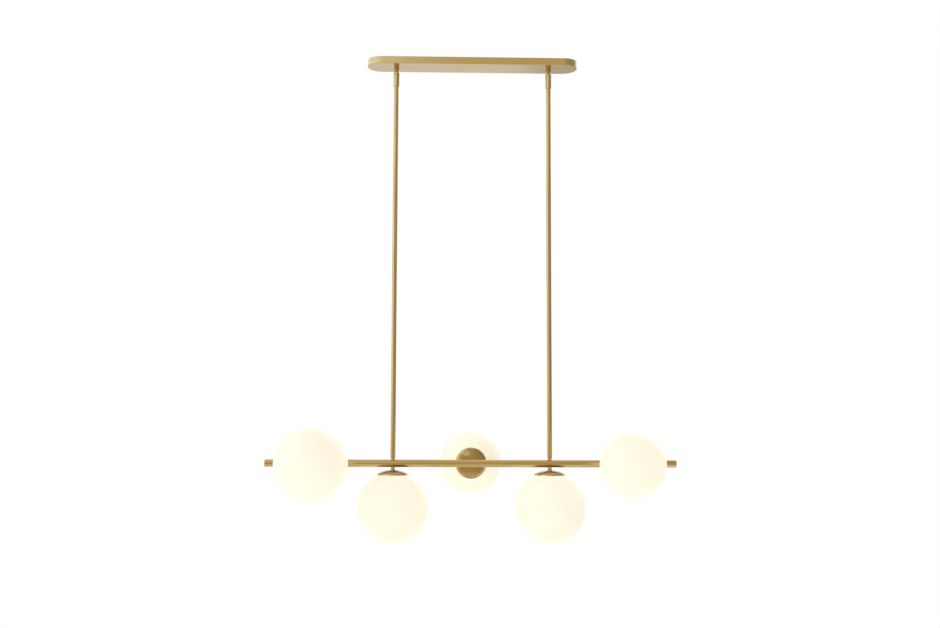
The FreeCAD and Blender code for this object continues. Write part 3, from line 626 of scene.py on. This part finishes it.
def floor_material(studio, colours):
    """Pale painted floor that takes the pendant's shadow and fades to plain white at its rim. For
    the camera and for clear glass the rim is as white as the room. From below the floor is open, and
    for gloss its outer part is open too."""
    material, tree = new_material("painted_floor_matt")
    place = node(tree, "ShaderNodeTexCoord").outputs["Object"]
    flat = node(tree, "ShaderNodeMapping", {"Scale": (1.0, 1.0, 0.0)}, {"Vector": place})
    radius = node(tree, "ShaderNodeVectorMath", {"operation": "LENGTH"}, {0: flat.outputs["Vector"]})
    rim = studio.floor_radius
    fade = node(tree, "ShaderNodeMapRange", {"interpolation_type": "SMOOTHSTEP", "From Min": 0.3 * rim,
                                             "From Max": 0.98 * rim},
                {"Value": radius.outputs["Value"]})
    rays = node(tree, "ShaderNodeLightPath")
    seen = seen_directly(tree, rays)
    white = node(tree, "ShaderNodeMath", {"operation": "MULTIPLY"}, {0: fade.outputs["Result"], 1: seen})
    speck = node(tree, "ShaderNodeTexNoise", {"Scale": 30.0, "Detail": 4.0}, {"Vector": place})
    tint = node(tree, "ShaderNodeMix", {"data_type": "RGBA", UNDER: colours.floor,
                                        OVER: shaded(colours.floor, 0.985)},
                {SHARE: speck.outputs["Fac"]})
    paint = node(tree, "ShaderNodeBsdfDiffuse", links={"Color": tint.outputs[MIXED]})
    glow = node(tree, "ShaderNodeEmission", {"Strength": 1.0})
    lit = node(tree, "ShaderNodeMixShader", links={0: white.outputs["Value"], 1: paint.outputs["BSDF"],
                                                   2: glow.outputs["Emission"]})
    far = node(tree, "ShaderNodeMapRange", {"interpolation_type": "SMOOTHSTEP", "From Min": 0.2 * rim,
                                            "From Max": 0.45 * rim},
               {"Value": radius.outputs["Value"]})
    gone = node(tree, "ShaderNodeMath", {"operation": "MULTIPLY"}, {0: far.outputs["Result"],
                                                                    1: rays.outputs["Is Glossy Ray"]})
    side = node(tree, "ShaderNodeNewGeometry")
    hidden = node(tree, "ShaderNodeMath", {"operation": "MAXIMUM"}, {0: side.outputs["Backfacing"],
                                                                     1: gone.outputs["Value"]})
    clear = node(tree, "ShaderNodeBsdfTransparent")
    whole = node(tree, "ShaderNodeMixShader", links={0: hidden.outputs["Value"],
                                                     1: lit.outputs["Shader"], 2: clear.outputs["BSDF"]})
    node(tree, "ShaderNodeOutputMaterial", links={"Surface": whole.outputs["Shader"]})
    return material


def seen_directly(tree, rays):
    """1 for the camera's rays and for those that gloss or clear glass send on, else 0."""
    first = node(tree, "ShaderNodeMath", {"operation": "MAXIMUM"},
                 {0: rays.outputs["Is Camera Ray"], 1: rays.outputs["Is Glossy Ray"]})
    both = node(tree, "ShaderNodeMath", {"operation": "MAXIMUM"},
                {0: first.outputs["Value"], 1: rays.outputs["Is Transmission Ray"]})
    return both.outputs["Value"]


def white_room(studio):
    """World: white for the camera, gloss and clear glass, and the room's light on plain surfaces."""
    world = bpy.data.worlds.new("white_room")
    world.use_nodes = True
    tree = world.node_tree
    tree.nodes.clear()
    rays = node(tree, "ShaderNodeLightPath")
    strength = node(tree, "ShaderNodeMapRange", {"To Min": studio.room, "To Max": 1.0},
                    {"Value": seen_directly(tree, rays)})
    light = node(tree, "ShaderNodeBackground", {"Color": WHITE},
                 {"Strength": strength.outputs["Result"]})
    node(tree, "ShaderNodeOutputWorld", links={"Surface": light.outputs["Background"]})
    bpy.context.scene.world = world


def soft_lamp(name, place, aim, width, height, power):
    """Rectangular soft lamp at a place, facing a point. It lights plain surfaces and isn't seen."""
    lamp = bpy.data.lights.new(name, "AREA")
    lamp.shape = "RECTANGLE"
    lamp.size = width
    lamp.size_y = height
    lamp.energy = power
    holder = bpy.data.objects.new(name, lamp)
    bpy.context.scene.collection.objects.link(holder)
    holder.location = place
    holder.rotation_euler = (Vector(aim) - Vector(place)).to_track_quat("-Z", "Y").to_euler()
    holder.visible_camera = False
    holder.visible_glossy = False


def surround_material(level, radius):
    """Tone of the surround, by azimuth from the front and by height: a warm mid tone in front, darker to
    the right, brightest to the left but dim low down and beyond it, one pale window high up at the left,
    white behind and above, but toned low down behind and most so at the right, and pale far below."""
    material, tree = new_material("surround_card")
    place = node(tree, "ShaderNodeTexCoord").outputs["Object"]
    parts = node(tree, "ShaderNodeSeparateXYZ", links={"Vector": place})
    ahead = node(tree, "ShaderNodeMath", {"operation": "MULTIPLY", 1: -1.0}, {0: parts.outputs["Y"]})
    azimuth = node(tree, "ShaderNodeMath", {"operation": "ARCTAN2"},
                   {0: parts.outputs["X"], 1: ahead.outputs["Value"]})
    # Each measure comes with its zero and its unit, a degree or the radius.
    turn = azimuth.outputs["Value"], 0.0, math.radians(1.0)
    across = parts.outputs["X"], 0.0, radius
    depth = parts.outputs["Y"], 0.0, radius
    height = parts.outputs["Z"], level, radius

    def laid(under, over, *edges):
        """One tone laid over another, inside all of its edges. At an edge it comes in smoothly while a
        measure goes from the first value to the second. A tone is a colour or an earlier layer."""
        share = None
        for (measure, zero, unit), start, end in edges:
            edge = node(tree, "ShaderNodeMapRange",
                        {"interpolation_type": "SMOOTHSTEP", "From Min": zero + start * unit,
                         "From Max": zero + end * unit}, {"Value": measure}).outputs["Result"]
            if share is not None:
                edge = node(tree, "ShaderNodeMath", {"operation": "MULTIPLY"},
                            {0: share, 1: edge}).outputs["Value"]
            share = edge
        settings, links = {"data_type": "RGBA"}, {SHARE: share}
        for number, tone in ((UNDER, under), (OVER, over)):
            (settings if isinstance(tone, tuple) else links)[number] = tone
        return node(tree, "ShaderNodeMix", settings, links).outputs[MIXED]

    front = laid((0.66, 0.52, 0.31, 1.0), (0.73, 0.60, 0.41, 1.0), (height, 0.25, 0.45))
    tone = laid(front, (0.44, 0.39, 0.32, 1.0), (turn, 8, 45))
    lit = laid((0.62, 0.58, 0.50, 1.0), (1.45, 1.5, 1.85, 1.0), (turn, -120, -95))
    lit = laid((0.66, 0.60, 0.50, 1.0), lit, (height, -0.14, 0.0))
    tone = laid(lit, tone, (turn, -52, -40))
    tone = laid(tone, (1.15, 1.24, 1.22, 1.0), (turn, -3.5, -7), (height, 0.28, 0.42),
                (height, 0.66, 0.54))
    tone = laid(tone, WHITE, (turn, 100, 125))
    tone = laid(tone, WHITE, (height, 0.93, 0.99))
    aside = laid((0.82, 0.78, 0.73, 1.0), (0.55, 0.50, 0.42, 1.0), (across, 0.1, 0.15))
    tone = laid(tone, aside, (depth, 0.0, 0.3), (height, 0.12, -0.02))
    tone = laid(tone, (1.1, 1.05, 0.95, 1.0), (height, -0.55, -0.75))
    glow = node(tree, "ShaderNodeEmission", {"Strength": 1.0}, {"Color": tone})
    node(tree, "ShaderNodeOutputMaterial", links={"Surface": glow.outputs["Emission"]})
    material.cycles.emission_sampling = "NONE"
    return material


def surround(level, radius, rings=33, steps_round=64):
    """Ball round the whole studio that only gloss sees: r = radius cos t, z = level + radius sin t."""
    lean = np.linspace(-np.pi / 2, np.pi / 2, rings)
    profile = np.stack((radius * np.cos(lean), level + radius * np.sin(lean)), axis=-1)
    mesh = turned_mesh("surround", profile, steps_round, closed=False)
    settle(mesh)
    mesh.materials.append(surround_material(level, radius))
    ball = bpy.data.objects.new("surround", mesh)
    bpy.context.scene.collection.objects.link(ball)
    ball.visible_camera = False
    ball.visible_diffuse = False
    ball.visible_shadow = False
    ball.visible_transmission = False


class PENDANT_OT_studio(PendantOperator, bpy.types.Operator):
    """Set the camera, the white room, the soft lamps and the floor"""

    bl_idname = "pendant.studio"
    bl_label = "Studio"

    def execute(self, context):
        studio, scene = self.studio, bpy.context.scene
        ahead = Vector((math.sin(studio.yaw) * math.cos(studio.pitch),
                        math.cos(studio.yaw) * math.cos(studio.pitch), math.sin(studio.pitch)))
        right = Vector((math.cos(studio.yaw), -math.sin(studio.yaw), 0.0))
        over = right.cross(ahead)
        leaned = right * math.cos(studio.roll) + over * math.sin(studio.roll)
        upright = over * math.cos(studio.roll) - right * math.sin(studio.roll)
        lens = bpy.data.cameras.new("camera")
        lens.sensor_width = 36.0
        lens.lens = studio.lens
        camera = bpy.data.objects.new("camera", lens)
        scene.collection.objects.link(camera)
        turn = Matrix((leaned, upright, -ahead)).transposed().to_4x4()
        camera.matrix_world = Matrix.Translation(Vector(studio.eye)) @ turn
        scene.camera = camera
        white_room(studio)
        middle, bar = (0.0, 0.0, -0.8), (0.0, 0.0, -1.1)
        soft_lamp("key_left", (-2.6, -1.6, -0.5), middle, width=1.4, height=3.0, power=26.0)
        soft_lamp("low_front", (-0.3, -2.2, -1.9), bar, width=3.2, height=0.6, power=12.0)
        soft_lamp("top", (0.3, 1.2, 2.0), middle, width=3.2, height=2.4, power=18.0)
        surround(level=middle[2], radius=4.3)
        mesh = flat_floor(studio.floor_level, studio.floor_radius)
        floor = bpy.data.objects.new("studio_floor", mesh)
        scene.collection.objects.link(floor)
        settle(floor.data)
        if floor.data.polygons[0].normal.z < 0:
            floor.data.flip_normals()
        floor.data.materials.append(floor_material(studio, self.colours))
        scene.view_settings.view_transform = "Standard"
        return {"FINISHED"}


OPERATORS = (PENDANT_OT_canopy, PENDANT_OT_frame, PENDANT_OT_caps, PENDANT_OT_fittings,
             PENDANT_OT_carriers, PENDANT_OT_bulb_bases, PENDANT_OT_glass, PENDANT_OT_studio)


class PENDANT_PT_sidebar(bpy.types.Panel):
    """The pendant's steps, sizes and colours"""

    bl_idname = "PENDANT_PT_sidebar"
    bl_label = "Linear island pendant"
    bl_space_type = "VIEW_3D"
    bl_region_type = "UI"
    bl_category = "Pendant"

    def draw(self, context):
        layout = self.layout
        for operator in OPERATORS:
            layout.operator(operator.bl_idname, text=operator.bl_label)
        for name in GROUPS:
            group = getattr(context.scene, name)
            column = layout.column(align=True)
            for key in group.__annotations__:
                column.prop(group, key)


GROUPS = {"pendant_sizes": PendantSizes, "pendant_colours": PendantColours,
          "pendant_studio": PendantStudio}
CLASSES = (*GROUPS.values(), *OPERATORS, PENDANT_PT_sidebar)


def register():
    for kind in CLASSES:
        bpy.utils.register_class(kind)
    for name, kind in GROUPS.items():
        setattr(bpy.types.Scene, name, PointerProperty(type=kind))


def unregister():
    for name in GROUPS:
        delattr(bpy.types.Scene, name)
    for kind in reversed(CLASSES):
        bpy.utils.unregister_class(kind)


def main():
    """Builds everything in order."""
    register()
    for operator in OPERATORS:
        group, step = operator.bl_idname.split(".")
        getattr(getattr(bpy.ops, group), step)()


if __name__ == "__main__":
    main()
